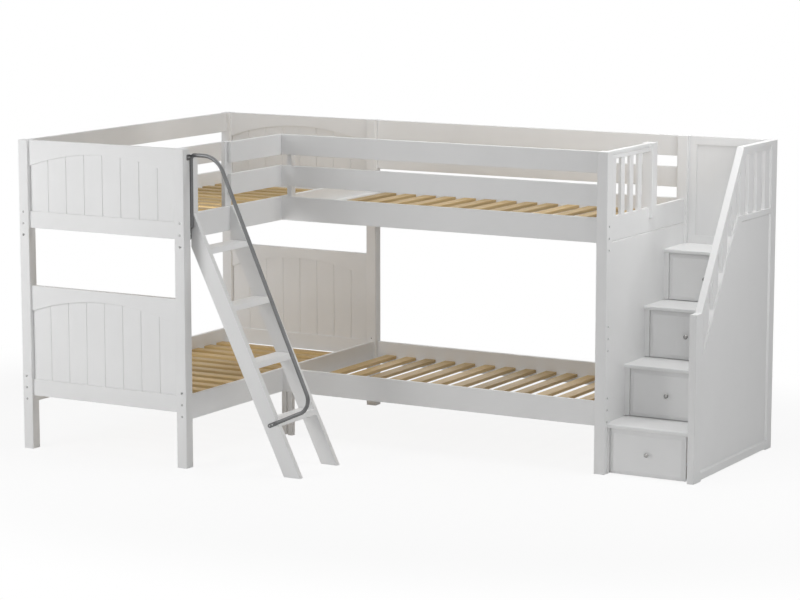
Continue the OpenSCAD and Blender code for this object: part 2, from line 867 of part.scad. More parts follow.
// A tread from its nosing back, as (Y, Z) points
module tread_outline(depth) {
    translate([nosing_round, 0]) square([depth - nosing_round, tread_t]);
    translate([0, nosing_round]) square([depth, tread_t - 2 * nosing_round]);
    for (z = [nosing_round, tread_t - nosing_round])
        translate([nosing_round, z]) circle(r = nosing_round);
}

module stair_treads() {
    depth = stair_back_y - tread_front(treads - 1);
    color(white) place() difference() {
        for (i = [0 : treads - 1])
            along_x(wall_face_x, side_in)
                translate([tread_front(i), tread_top(i) - tread_t]) tread_outline(depth);
        end_post_room();
    }
}

module stair_back_panel() {
    field_x0 = end_x + back_frame_w;
    field_x1 = side_in - back_frame_w;
    top_z = bunk_h - back_frame_w;
    color(white) place() difference() {
        box_between([end_x, stair_back_y, 0], [side_in, stair_back_y + back_t, bunk_h]);
        box_between([field_x0, stair_back_y - over, tread_top(treads - 1) + back_frame_w],
                    [field_x1, stair_back_y + back_sunk, top_z]);
        box_between([field_x0, stair_back_y + back_t - back_sunk, back_frame_w],
                    [field_x1, stair_back_y + back_t + over, top_z]);
    }
}

// The filler flush with each drawer front on the wall's side, the one set back on the
// side frame, and the runners that enter the box's grooves
module drawer_runners() {
    left = wall_face_x;
    right = side_in;
    color(white) place() difference() {
        for (i = [0 : treads - 1]) {
            z = drawer_z(i) + box_lift + runner_z;
            y0 = front_y(i) + front_t + filler_set;
            y1 = front_y(i) + front_t + box_depth(i);
            top = tread_top(i) - tread_t;
            box_between([left, front_y(i), drawer_z(i)],
                        [left + wall_filler_w, y0 + filler_d, top]);
            box_between([right - drawer_inset + filler_play, y0, drawer_z(i)],
                        [right, y0 + filler_d, top]);
            box_between([left, y0, z],
                        [box_x + groove_d - 2 * runner_play, y1, z + runner_h]);
            box_between([box_x + box_w - groove_d + 2 * runner_play, y0, z],
                        [right, y1, z + runner_h]);
        }
        end_post_room();
    }
}

// A drawer front with a bevel round its face, which looks along -Y
module drawer_front(i) {
    w = front_w;
    h = front_h(i);
    color(white) place() translate([front_x, front_y(i), drawer_z(i)]) difference() {
        cube([w, front_t, h]);
        for (z = [0, h])
            along_x(-over, w + over) polygon(bevel_points(z, z == 0 ? over : -over));
        for (x = [0, w])
            along_z(-over, h + over)
                polygon([for (p = bevel_points(x, x == 0 ? over : -over)) [p[1], p[0]]]);
    }
}

// The wedge that a bevel takes off, as (depth, place) points. The sign of out is
// positive where the wood lies above the edge.
function bevel_points(edge, out) =
    [[-over, edge - out], [-over, edge + sign(out) * bevel_w], [0, edge + sign(out) * bevel_w],
     [bevel_d, edge], [bevel_d, edge - out]];

module drawer_box(i) {
    d = box_depth(i);
    h = box_h(i);
    color(tan_wood) place()
        translate([box_x, front_y(i) + front_t, drawer_z(i) + box_lift]) difference() {
            cube([box_w, d, h]);
            translate([box_t, box_t, box_floor_t])
                cube([box_w - 2 * box_t, d - 2 * box_t, h]);
            for (x = [-over, box_w - groove_d])
                translate([x, -over, runner_z - runner_play])
                    cube([groove_d + over, d + 2 * over, runner_h + 2 * runner_play]);
        }
}

// A knob: a coned foot, a neck and a domed head
module drawer_knob(i) {
    foot_h = knob_foot_d / 4;
    head_h = knob_d / 3;
    head_z = knob_l - head_h;
    dome_r = (knob_d * knob_d / 4 + head_h * head_h) / (2 * head_h);
    color(knob_metal) place()
        translate([front_x + front_w / 2, front_y(i), drawer_z(i) + front_h(i) / 2])
            rotate([90, 0, 0]) {
                cylinder(h = foot_h, d1 = knob_foot_d, d2 = knob_neck_d);
                cylinder(h = head_z, d = knob_neck_d);
                translate([0, 0, head_z - lap - foot_h])
                    cylinder(h = foot_h, d1 = knob_neck_d, d2 = knob_d);
                intersection() {
                    translate([0, 0, head_z - lap]) cylinder(h = head_h + lap, d = knob_d);
                    translate([0, 0, knob_l - dome_r]) sphere(r = dome_r);
                }
            }
}

module drawer_1_front() { drawer_front(0); }
module drawer_1_box() { drawer_box(0); }
module drawer_1_knob() { drawer_knob(0); }
module drawer_2_front() { drawer_front(1); }
module drawer_2_box() { drawer_box(1); }
module drawer_2_knob() { drawer_knob(1); }
module drawer_3_front() { drawer_front(2); }
module drawer_3_box() { drawer_box(2); }
module drawer_3_knob() { drawer_knob(2); }
module drawer_4_front() { drawer_front(3); }
module drawer_4_box() { drawer_box(3); }
module drawer_4_knob() { drawer_knob(3); }

// The ladder leans on the outer face of the upper bed rail
module ladder_stiles() {
    heel = stile_front_x - stile_w;
    color(white) place()
        for (y = [ladder_y, ladder_y + ladder_w - stile_t])
            along_y(y, y + stile_t)
                polygon([[heel, 0], [stile_front_x, 0], [right_x + stile_top, rail_top],
                         [right_x, rail_top], [right_x, (heel - right_x) / lean_run]]);
}

module ladder_rungs() {
    color(white) place()
        for (i = [1 : rungs]) {
            top = i * rung_pitch;
            low = top - rung_t;
            along_y(ladder_y + stile_t, ladder_y + ladder_w - stile_t)
                polygon([[ladder_front(top) - rung_d, top], [ladder_front(top), top],
                         [ladder_front(low), low], [ladder_front(low) - rung_d, low]]);
        }
}

// The handrail tube lies in one upright plane just before the near stile
tube_r = tube_d / 2;
tube_top_z = bunk_h - tube_drop;
tube_foot_z = rail_top - tube_foot_drop;
// A bend is this much thicker than the straight runs, so that they never touch edge to edge
bend_swell = 0.05;
tube_y = ladder_y - tube_standoff - tube_r;
tube_foot_x = right_x + tube_standoff + tube_r;
slope_dir = [sin(tube_lean), -cos(tube_lean)];
cross_dir = [-slope_dir[1], slope_dir[0]];
tube_end = [ladder_front(tube_end_z) + tube_end_gap, tube_end_z];
slope_top = [ladder_front(rail_top) + tube_reach - (tube_top_z - rail_top) * tan(tube_lean),
             tube_top_z];
// The corner where the slope meets the line square to it through the tube's end
slope_len = (tube_end - slope_top) * slope_dir;
slope_foot = slope_top + slope_len * slope_dir;

module in_tube_plane() {
    translate([0, tube_y, 0]) rotate([90, 0, 0]) children();
}

// A straight run of tube, let into the bends at its ends by the two laps
module straight(from, to, from_lap, to_lap) {
    run = to - from;
    translate([from[0], from[1], 0]) rotate([0, 0, atan2(run[1], run[0])])
        translate([-from_lap, 0, 0]) rotate([0, 90, 0])
            cylinder(h = norm(run) + from_lap + to_lap, r = tube_r);
}

// A bend of radius r that starts at a point, heads along an angle and turns right
module bend_right(at, heading, turn, r) {
    translate([at[0], at[1], 0]) rotate([0, 0, heading]) translate([0, -r, 0])
        rotate([0, 0, 90 - turn]) rotate_extrude(angle = turn)
            translate([r, 0]) circle(r = tube_r + bend_swell);
}

function reach_of(r, turn) = r * tan(turn / 2);

module tube_top_bend() {
    bend_right([tube_foot_x, tube_top_z - tube_bend_top], 90, 90, tube_bend_top);
}

module ladder_handrail() {
    knee_turn = 90 - tube_lean;
    knee = reach_of(tube_bend_mid, knee_turn);
    foot = reach_of(tube_bend_low, 90);
    slope_angle = -knee_turn;
    back_dir = [-cross_dir[0], -cross_dir[1]];
    color(steel_grey) place() in_tube_plane() {
        straight([tube_foot_x, tube_foot_z], [tube_foot_x, tube_top_z - tube_bend_top], 0, lap);
        tube_top_bend();
        straight([tube_foot_x + tube_bend_top, tube_top_z], slope_top - [knee, 0], lap, lap);
        bend_right(slope_top - [knee, 0], 0, knee_turn, tube_bend_mid);
        straight(slope_top + knee * slope_dir, slope_foot - foot * slope_dir, lap, lap);
        bend_right(slope_foot - foot * slope_dir, slope_angle, 90, tube_bend_low);
        straight(slope_foot + foot * back_dir, tube_end, lap, 0);
    }
}

// A tube's end pressed flat: it starts as a disc at the origin, runs up Z and
// ends as a tab whose outer face lies at +Y, on the wood
module flat_end() {
    face_y = tube_r + tube_standoff;
    hull() {
        cylinder(h = lap, r = tube_r, $fn = hull_fn);
        translate([-tube_r, face_y - tab_t, tube_press_l]) cube([tube_d, tab_t, lap]);
    }
    translate([-tube_r, face_y - tab_t, tube_press_l]) cube([tube_d, tab_t, tab_l]);
}

// The flattened ends of the tube, on the stile and on the bed rail, and the plate
// on the near post that the bend of the tube is welded to
module handrail_brackets() {
    z = tube_top_z - tube_bend_top;
    color(steel_grey) place() {
        translate([tube_end[0], tube_y, tube_end[1]]) rotate([0, -90 - tube_lean, 0])
            flat_end();
        translate([tube_foot_x, tube_y, tube_foot_z]) rotate([180, 0, 90])
            flat_end();
        difference() {
            box_between([bunk_w, tube_y - tube_r - bracket_l, z],
                        [bunk_w + tab_t, tube_y - tube_r + lap, z + bracket_h]);
            in_tube_plane() tube_top_bend();
        }
    }
}

module bed_bolts() {
    color(zinc) place()
        for (column = bolt_columns)
            for (rail_z = rail_levels)
                for (z = bolt_heights(rail_z)) at_column(column, z) bolt();
}

post_front_left();
post_front_right();
post_rear_left();
post_rear_right();
end_post_front();
end_post_rear();
front_upper_panel_rails();
front_upper_panel_boards();
front_lower_panel_rails();
front_lower_panel_boards();
rear_upper_panel_rails();
rear_upper_panel_boards();
rear_lower_panel_rails();
rear_lower_panel_boards();
left_bunk_upper_rails();
left_bunk_lower_rails();
right_bunk_upper_rails();
right_bunk_lower_rails();
left_guard_boards();
entry_guard_boards();
front_guard_boards();
back_guard_boards();
entry_guard_posts();
left_upper_slats();
left_lower_slats();
right_upper_slats();
right_lower_slats();
slat_cleats();
corner_supports();
corner_deck_board();
end_wall_board();
end_guard_rail();
end_guard_balusters();
end_guard_post();
stair_inner_wall();
stair_side_stiles();
stair_side_rails();
stair_side_panel();
stair_handrail();
stair_balusters();
stair_treads();
stair_back_panel();
drawer_runners();
drawer_1_front();
drawer_1_box();
drawer_1_knob();
drawer_2_front();
drawer_2_box();
drawer_2_knob();
drawer_3_front();
drawer_3_box();
drawer_3_knob();
drawer_4_front();
drawer_4_box();
drawer_4_knob();
ladder_stiles();
ladder_rungs();
ladder_handrail();
handrail_brackets();
bed_bolts();
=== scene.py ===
"""L-shaped bunk bed: finishes, slats, small fasteners, light and camera round the frame."""
import json
import math

import bmesh
import bpy
from mathutils import Matrix, Vector


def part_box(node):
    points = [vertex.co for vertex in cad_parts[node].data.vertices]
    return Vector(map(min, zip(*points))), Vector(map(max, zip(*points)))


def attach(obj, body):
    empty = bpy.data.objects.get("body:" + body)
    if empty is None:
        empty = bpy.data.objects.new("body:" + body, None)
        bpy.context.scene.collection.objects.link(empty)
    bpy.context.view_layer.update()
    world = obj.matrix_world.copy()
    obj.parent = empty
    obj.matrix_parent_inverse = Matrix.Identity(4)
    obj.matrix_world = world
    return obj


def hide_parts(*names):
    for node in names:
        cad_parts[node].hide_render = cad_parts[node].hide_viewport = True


# Lengths are in metres, as in the frame, except where a section says otherwise.
MM = 0.001
WHITE = (1.0, 1.0, 1.0, 1.0)

# ---------------------------------------------------------------- frame and camera

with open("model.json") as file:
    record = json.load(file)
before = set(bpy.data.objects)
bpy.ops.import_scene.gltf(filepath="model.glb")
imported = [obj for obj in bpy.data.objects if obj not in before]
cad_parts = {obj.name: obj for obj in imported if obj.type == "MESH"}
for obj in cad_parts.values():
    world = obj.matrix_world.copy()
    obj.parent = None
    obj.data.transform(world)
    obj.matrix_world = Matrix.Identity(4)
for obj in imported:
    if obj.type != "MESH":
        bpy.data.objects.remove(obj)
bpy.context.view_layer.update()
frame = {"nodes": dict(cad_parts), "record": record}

CAMERA_AT = (7.0837, -12.3605, 3.0659)
CAMERA_YAW = -0.5195   # radians from +Y, where a negative yaw turns towards -X
CAMERA_PITCH = 0.1562  # radians below level
LENS_MM = 118.88
SENSOR_MM = 36.0
CLIP_END = 500.0


def look(obj, direction):
    """Turns a camera or a lamp to look along a direction."""
    obj.rotation_mode = "QUATERNION"
    obj.rotation_quaternion = Vector(direction).to_track_quat("-Z", "Y")


def add_to_scene(name, data):
    """Puts a new object with this data in the scene."""
    obj = bpy.data.objects.new(name, data)
    bpy.context.scene.collection.objects.link(obj)
    return obj


def make_camera():
    """The camera that took the photo: its place, direction and lens."""
    data = bpy.data.cameras.new("camera")
    data.lens = LENS_MM
    data.sensor_width = SENSOR_MM
    data.clip_end = CLIP_END
    camera = add_to_scene("camera", data)
    camera.location = CAMERA_AT
    level = math.cos(CAMERA_PITCH)
    look(camera, (math.sin(CAMERA_YAW) * level, math.cos(CAMERA_YAW) * level,
                  -math.sin(CAMERA_PITCH)))
    bpy.context.scene.camera = camera


# ---------------------------------------------------------------- node trees

AXES = {"x": 0, "y": 1, "z": 2}
MIDDLE = (0.3, 0.7)     # nearly all of a noise lies between these
# The dot product of the true and the rounded normal, on a flat face and well into an edge.
EDGE_DOT = (1.0, 0.8)
EDGE_SAMPLES = 4


class Tree:
    """A node tree, with short calls to add and join nodes."""

    def __init__(self, tree):
        self.tree = tree

    def add(self, kind, inputs=None, **settings):
        """Adds a node with its settings, and feeds its inputs."""
        node = self.tree.nodes.new(kind)
        for key, value in settings.items():
            setattr(node, key, value)
        for key, value in (inputs or {}).items():
            self.feed(node.inputs[key], value)
        return node

    def feed(self, socket, value):
        """Joins a socket to another one's output, or sets its value."""
        if isinstance(value, bpy.types.NodeSocket):
            self.tree.links.new(value, socket)
        else:
            socket.default_value = value

    def maths(self, operation, a, b=0.5):
        """One step of arithmetic. FLOOR takes no notice of b."""
        node = self.add("ShaderNodeMath", {0: a, 1: b}, operation=operation)
        return node.outputs[0]

    def vector(self, operation, inputs):
        """One step of arithmetic on vectors, as its node."""
        return self.add("ShaderNodeVectorMath", inputs, operation=operation)

    def seen_directly(self):
        """1 for camera, glossy and transmission rays."""
        path = self.add("ShaderNodeLightPath").outputs
        sight = self.maths("MAXIMUM", path["Is Camera Ray"], path["Is Glossy Ray"])
        return self.maths("MAXIMUM", sight, path["Is Transmission Ray"])

    def show(self, share, shaded, plain, output):
        """Sends a mix of two shaders, with this share of the plain one, to an output."""
        blend = self.add("ShaderNodeMixShader", {0: share, 1: shaded, 2: plain})
        self.tree.links.new(blend.outputs[0], self.tree.nodes[output].inputs["Surface"])


class Graph(Tree):
    """A material's node tree, laid out by the object's own coordinates."""

    def __init__(self, name):
        self.material = bpy.data.materials.new(name)
        self.material.use_nodes = True
        super().__init__(self.material.node_tree)
        self.shader = self.tree.nodes["Principled BSDF"]
        self.place = self.add("ShaderNodeTexCoord").outputs["Object"]

    def surface(self, **values):
        """Feeds the shader's sockets, named with _ for a space."""
        for key, value in values.items():
            self.feed(self.shader.inputs[key.replace("_", " ")], value)

    def stretched(self, scale):
        """Coordinates in metres times a scale along each axis."""
        node = self.add("ShaderNodeMapping", {"Vector": self.place, "Scale": scale})
        return node.outputs[0]

    def noise(self, scale, detail, rough=0.55, distortion=0.0, at=None):
        """A noise of 0 to 1, with features of 1 / scale metres, or at given coordinates."""
        if at is None:
            at = self.stretched(scale)
        node = self.add("ShaderNodeTexNoise", {
            "Vector": at, "Scale": 1.0, "Detail": detail, "Roughness": rough,
            "Distortion": distortion})
        return node.outputs["Fac"]

    def span(self, value, source, target):
        """Turns a value in one range into the same share of another range."""
        node = self.add("ShaderNodeMapRange", {
            "Value": value, "From Min": source[0], "From Max": source[1],
            "To Min": target[0], "To Max": target[1]})
        return node.outputs[0]

    def mix(self, amount, a, b):
        """A mix of two colours."""
        node = self.add("ShaderNodeMix", {"Factor": amount, 6: a, 7: b}, data_type="RGBA")
        return node.outputs[2]

    def ramp(self, value, stops):
        """A colour from stops of a position and a colour."""
        node = self.add("ShaderNodeValToRGB", {"Fac": value})
        ramp = node.color_ramp
        while len(ramp.elements) < len(stops):
            ramp.elements.new(0.5)
        for element, (at, colour) in zip(ramp.elements, stops):
            element.position = at
            element.color = (*colour, 1.0)
        return node.outputs[0]

    def tones(self, noise, low, high):
        """A colour between two, by a noise."""
        return self.ramp(noise, list(zip(MIDDLE, (low, high))))

    def bump(self, height, distance, strength, normal=None):
        """A normal with relief of this height, on top of another normal if one is given."""
        node = self.add("ShaderNodeBump", {
            "Height": height, "Distance": distance, "Strength": strength})
        if normal is not None:
            self.feed(node.inputs["Normal"], normal)
        return node.outputs[0]

    def edges(self, radius):
        """1 along sharp edges, 0 on flat faces, and the normal rounded over those edges."""
        bevel = self.add("ShaderNodeBevel", {"Radius": radius}, samples=EDGE_SAMPLES)
        rounded = bevel.outputs[0]
        flat = self.add("ShaderNodeNewGeometry").outputs["Normal"]
        dot = self.vector("DOT_PRODUCT", {0: rounded, 1: flat}).outputs["Value"]
        return self.span(dot, EDGE_DOT, (0.0, 1.0)), rounded


def even(scale):
    """A noise scale that is the same along each axis."""
    return (scale, scale, scale)


def along(axis, run, across):
    """A noise scale that is stretched along one axis, as wood grain is."""
    return tuple(run if AXES[axis] == i else across for i in range(3))


# ---------------------------------------------------------------- finishes

# A pair of numbers is a range, for the low and the high end of a noise.
PAINT_LOW = (0.802, 0.803, 0.802)
PAINT_HIGH = (0.834, 0.835, 0.834)
PAINT_GRAIN = (0.700, 0.697, 0.685, 1.0)
# The paint's edges are mixed towards a lighter white: a painted highlight where edges catch
# the light.
PAINT_EDGE_HIGHLIGHT = (0.872, 0.872, 0.868, 1.0)
PAINT_EDGE_RADIUS = 1.6 * MM
PAINT_HIGHLIGHT_SHARE = 0.35
PAINT_EDGE_POLISH = 0.12    # an edge is this much less rough
PAINT_ROUGHNESS = (0.40, 0.50)
PAINT_SPECULAR = 0.35
GRAIN_LINES = (0.52, 0.75)  # where the grain's noise shows through the paint
GRAIN_SHARE = (0.0, 0.10)
GRAIN_RELIEF = 0.10 * MM
SPRAY_RELIEF = 0.03 * MM

WOOD_EDGE_RADIUS = 1.4 * MM
# The share of the light tone mixed into the wood's edges, as a painted highlight.
WOOD_HIGHLIGHT_SHARE = 0.25
WOOD_ROUGHNESS = (0.42, 0.60)
WOOD_SHIFT = 7.0            # moves a board's figure away from the next one's
WOOD_OWN_TONE = (0.80, 1.16)
FIGURE_STOPS = (0.25, 0.50, 0.72)
PORE_LINES = (0.50, 0.80)
PORE_SHARE = (0.0, 0.55)
PORE_GLOSS = (0.3, 0.8)
PORE_RELIEF = 0.12 * MM
TONE_LEAD = 0.02            # the first board's tone starts this far before its edge

SLAT_LIGHT = (0.550, 0.393, 0.182)
SLAT_DARK = (0.447, 0.298, 0.118)
SLAT_STREAK = (0.345, 0.210, 0.078)
SLAT_PITCH = 0.132          # the slats' spacing

BOX_LIGHT = (0.700, 0.545, 0.345)
BOX_DARK = (0.620, 0.460, 0.270)
BOX_STREAK = (0.500, 0.350, 0.190)
BOX_PITCH = 0.28            # the drawers' spacing

COAT_LOW = (0.130, 0.132, 0.134)
COAT_HIGH = (0.168, 0.169, 0.171)
# The coat's edges are mixed towards this lighter grey, as a painted highlight.
COAT_EDGE_HIGHLIGHT = (0.27, 0.27, 0.27, 1.0)
COAT_EDGE_RADIUS = 3.5 * MM
COAT_HIGHLIGHT_SHARE = 0.4
COAT_ROUGHNESS = (0.30, 0.40)
COAT_RELIEF = 0.04 * MM
COAT_METALLIC = 0.55

NICKEL_LOW = (0.27, 0.267, 0.260)
NICKEL_HIGH = (0.36, 0.355, 0.345)
NICKEL_ROUGHNESS = (0.26, 0.40)
NICKEL_RELIEF = 0.02 * MM

ZINC_LOW = (0.36, 0.36, 0.36)
ZINC_HIGH = (0.52, 0.52, 0.51)
ZINC_ROUGHNESS = (0.32, 0.48)
ZINC_RELIEF = 0.03 * MM

# A painted node's grain runs along the axis that lists a word of its name, and else up.
GRAIN_WORDS = {
    "x": ("panel_rails", "right_bunk", "front_guard", "back_guard", "treads", "_front",
          "rungs"),
    "y": ("left_bunk", "left_guard", "entry_guard_boards", "deck_board", "wall_board",
          "end_guard_rail", "handrail", "side_rails", "runners", "cleats"),
}


def white_paint(axis):
    """Satin white paint over hardwood whose grain runs along an axis, with a painted highlight
    along its edges.
    """
    g = Graph("white_paint_" + axis)
    edge, rounded = g.edges(PAINT_EDGE_RADIUS)
    cloud = g.noise(even(3.0), detail=3.0)
    grain = g.noise(along(axis, 9.0, 260.0), detail=5.0, rough=0.6, distortion=0.3)
    spray = g.noise(even(700.0), detail=2.0)
    tone = g.tones(cloud, PAINT_LOW, PAINT_HIGH)
    tone = g.mix(g.span(grain, GRAIN_LINES, GRAIN_SHARE), tone, PAINT_GRAIN)
    # Painted highlight: the edges are lighter than the faces.
    tone = g.mix(g.maths("MULTIPLY", edge, PAINT_HIGHLIGHT_SHARE), tone, PAINT_EDGE_HIGHLIGHT)
    rough = g.span(cloud, MIDDLE, PAINT_ROUGHNESS)
    relief = g.bump(grain, distance=GRAIN_RELIEF, strength=0.5, normal=rounded)
    g.surface(
        Base_Color=tone,
        Roughness=g.maths("SUBTRACT", rough, g.maths("MULTIPLY", edge, PAINT_EDGE_POLISH)),
        Normal=g.bump(spray, distance=SPRAY_RELIEF, strength=0.35, normal=relief),
        Specular_IOR_Level=PAINT_SPECULAR)
    return g.material


def bare_wood(name, axis, step_axis, pitch, start, light, dark, streak):
    """Clear finished wood. Each board across the step axis gets a tone of its own, and its
    edges a painted highlight.
    """
    g = Graph(name)
    edge, rounded = g.edges(WOOD_EDGE_RADIUS)
    split = g.add("ShaderNodeSeparateXYZ", {"Vector": g.place}).outputs
    # The seed is the board's number along the step axis and its height in whole metres.
    steps = g.maths("DIVIDE", g.maths("SUBTRACT", split[AXES[step_axis]], start), pitch)
    seed = g.add("ShaderNodeCombineXYZ", {
        "X": g.maths("FLOOR", steps), "Y": g.maths("FLOOR", split[AXES["z"]])}).outputs[0]
    draw = g.add("ShaderNodeTexWhiteNoise", {"Vector": seed}, noise_dimensions="2D")
    shift = g.vector("SCALE", {0: draw.outputs["Color"], "Scale": WOOD_SHIFT}).outputs[0]
    moved = g.vector("ADD", {0: g.stretched(along(axis, 1.6, 26.0)), 1: shift}).outputs[0]
    figure = g.noise(None, detail=3.0, rough=0.5, distortion=1.2, at=moved)
    pores = g.noise(along(axis, 14.0, 420.0), detail=4.0, rough=0.65)
    tone = g.ramp(figure, list(zip(FIGURE_STOPS, (dark, light, dark))))
    tone = g.mix(g.span(pores, PORE_LINES, PORE_SHARE), tone, (*streak, 1.0))
    own = g.span(draw.outputs["Value"], (0.0, 1.0), WOOD_OWN_TONE)
    tone = g.vector("SCALE", {0: tone, "Scale": own}).outputs[0]
    # Painted highlight: the edges are mixed towards the light tone.
    tone = g.mix(g.maths("MULTIPLY", edge, WOOD_HIGHLIGHT_SHARE), tone, (*light, 1.0))
    g.surface(Base_Color=tone,
              Roughness=g.span(pores, PORE_GLOSS, WOOD_ROUGHNESS),
              Normal=g.bump(pores, distance=PORE_RELIEF, strength=0.6, normal=rounded))
    return g.material


def grey_coat():
    """Grey powder coat on the handrail, with its fine orange peel and a painted highlight
    along its edges.
    """
    g = Graph("grey_coat")
    edge, rounded = g.edges(COAT_EDGE_RADIUS)
    peel = g.noise(even(900.0), detail=2.0)
    cloud = g.noise(even(14.0), detail=3.0)
    tone = g.tones(cloud, COAT_LOW, COAT_HIGH)
    # Painted highlight: the edges are mixed towards the lighter grey.
    g.surface(Base_Color=g.mix(g.maths("MULTIPLY", edge, COAT_HIGHLIGHT_SHARE), tone, COAT_EDGE_HIGHLIGHT),
              Roughness=g.span(peel, MIDDLE, COAT_ROUGHNESS),
              Normal=g.bump(peel, distance=COAT_RELIEF, strength=0.5, normal=rounded),
              Metallic=COAT_METALLIC)
    return g.material


def bare_metal(name, scale, detail, low, high, rough, relief):
    """Plated metal whose tone and gloss change with one noise."""
    g = Graph(name)
    noise = g.noise(scale, detail=detail)
    g.surface(Base_Color=g.tones(noise, low, high),
              Roughness=g.span(noise, MIDDLE, rough),
              Normal=g.bump(noise, distance=relief, strength=0.4),
              Metallic=1.0)
    return g.material


def satin_nickel():
    """Brushed nickel of the drawer knobs."""
    return bare_metal("satin_nickel", scale=along("y", 900.0, 60.0), detail=3.0,
                      low=NICKEL_LOW, high=NICKEL_HIGH, rough=NICKEL_ROUGHNESS,
                      relief=NICKEL_RELIEF)


def zinc():
    """Dull zinc plate on bolts and screws."""
    return bare_metal("zinc", scale=even(260.0), detail=4.0, low=ZINC_LOW,
                      high=ZINC_HIGH, rough=ZINC_ROUGHNESS, relief=ZINC_RELIEF)


def slat_wood(side, axis, step_axis):
    """The wood of one bunk's slats, with a tone for each slat."""
    low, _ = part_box(side + "_upper_slats")
    return bare_wood("slat_wood_" + side, axis, step_axis, SLAT_PITCH,
                     low[AXES[step_axis]] - TONE_LEAD, SLAT_LIGHT, SLAT_DARK, SLAT_STREAK)


def make_finishes():
    """Every finish: the paints by their axis, the rest by a slot or by a slot and a side."""
    finishes = {axis: white_paint(axis) for axis in AXES}
    finishes["left", "slat_wood"] = slat_wood("left", "x", "y")
    finishes["right", "slat_wood"] = slat_wood("right", "y", "x")
    finishes["drawer_wood"] = bare_wood("drawer_wood", "y", "z", BOX_PITCH, 0.0,
                                        BOX_LIGHT, BOX_DARK, BOX_STREAK)
    finishes["grey_metal"] = grey_coat()
    finishes["knob_metal"] = satin_nickel()
    finishes["zinc_bolt"] = zinc()
    return finishes


def grain_axis(name):
    """The axis along which a painted node's boards run."""
    if name.startswith(("post", "end_post")):
        return "z"
    for axis, words in GRAIN_WORDS.items():
        if any(word in name for word in words):
            return axis
    return "z"


def paint_nodes(finishes):
    """Gives every CAD node the finish of its slot, with the grain along its boards."""
    slots = {part["node"]: part["material_slot"] for part in frame["record"]["subparts"]}
    for name, node in frame["nodes"].items():
        slot = slots[name]
        if slot == "slat_wood":
            slot = ("left" if name.startswith("left") else "right", slot)
        elif slot not in finishes:
            slot = grain_axis(name)
        node.data.materials.clear()
        node.data.materials.append(finishes[slot])


# ---------------------------------------------------------------- making pieces

CREASE = math.radians(32)   # edges that turn by more than this stay sharp
MERGE = 0.01 * MM           # points closer than this are one corner
SORT_DIGITS = 4
IDENTITY = Matrix.Identity(4)
PLAN_ORIGIN = Vector((1782.5, 1022.5, 0.0))  # the frame's origin in the plan, in mm


def place(x, y, z, turn=IDENTITY):
    """A place in the plan in mm, with a turn, as a matrix of the frame."""
    scale = Matrix.Scale(MM, 4)
    return Matrix.Translation((Vector((x, y, z)) - PLAN_ORIGIN) * MM) @ turn @ scale


def turned(degrees, axis):
    """A turn about an axis, as a matrix."""
    return Matrix.Rotation(math.radians(degrees), 4, axis)


def loft(bm, matrix, rings):
    """Skins rings of as many points each, and closes both ends."""
    loops = [[bm.verts.new(matrix @ Vector(point)) for point in ring] for ring in rings]
    for low, high in zip(loops, loops[1:]):
        for i in range(len(low)):
            j = (i + 1) % len(low)
            bm.faces.new((low[i], low[j], high[j], high[i]))
    bm.faces.new(list(reversed(loops[0])))
    bm.faces.new(loops[-1])


def as_piece(name, bm, material, replaced=None):
    """Turns a mesh under construction into a piece that rides on the bed frame."""
    bmesh.ops.recalc_face_normals(bm, faces=bm.faces)
    for face in bm.faces:
        face.smooth = True
    for edge in bm.edges:
        if edge.calc_face_angle(0.0) > CREASE:
            edge.smooth = False
    mesh = bpy.data.meshes.new(name)
    bm.to_mesh(mesh)
    bm.free()
    mesh.materials.append(material)
    piece = add_to_scene(name, mesh)
    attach(piece, "bed_frame")
    if replaced is not None:
        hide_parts(replaced)


def corners(points):
    """The lowest and highest corner of the box round some points."""
    return (Vector([min(p[i] for p in points) for i in range(3)]),
            Vector([max(p[i] for p in points) for i in range(3)]))


def low_corner(points):
    """The lowest corner, rounded so that it sorts the same on each run."""
    return tuple(round(value, SORT_DIGITS) for value in corners(points)[0])


def islands(name):
    """The separate solids of a node, each as the points of its corners, in a fixed order."""
    bm = bmesh.new()
    bm.from_mesh(frame["nodes"][name].data)
    bmesh.ops.remove_doubles(bm, verts=bm.verts, dist=MERGE)
    left = set(bm.verts)
    found = []
    while left:
        todo = [left.pop()]
        points = []
        while todo:
            vert = todo.pop()
            points.append(vert.co.copy())
            for edge in vert.link_edges:
                other = edge.other_vert(vert)
                if other in left:
                    left.remove(other)
                    todo.append(other)
        found.append(points)
    bm.free()
    return sorted(found, key=low_corner)


# ---------------------------------------------------------------- small fasteners, in mm

TUBE_RADIUS = 10.5
TUBE_PLANE_Y = 76.5
TUBE_FOOT = (1077.5, 1290.0)     # the middle of the upright's lower end, x and z
TUBE_LOW_END = (1602.2, 290.0)   # the middle of the raking length's lower end, x and z
TUBE_LEAN = 24.1                 # degrees
RING = 24                        # points round the tube
ROUND, SQUARE = 2.0, 6.0         # the ring's squareness on the tube and on the tab

PRESS_LENGTH = 25.0
PRESS_STEPS = 8
TAB_LENGTH = 48.0
TAB_HALF_WIDTH = 11.5
TAB_THICKNESS = 4.0
TAB_NOSE_TURN = 84               # degrees of the half round at the tab's end
TAB_NOSE_STEPS = 7
TAB_SCREWS = (0.36, 0.74)        # shares of the tab's length
WALL_GAP = 3.0                   # from the tube to the face that carries it

PLATE = ((1080.0, 32.0, 1640.0), (1084.0, 67.0, 1670.0))  # its low and high corners
PLATE_CORNER = 5.0
PLATE_CORNER_STEPS = 5
PLATE_BEVEL = 0.7
PLATE_SCREWS_Y = (40.5, 55.0)

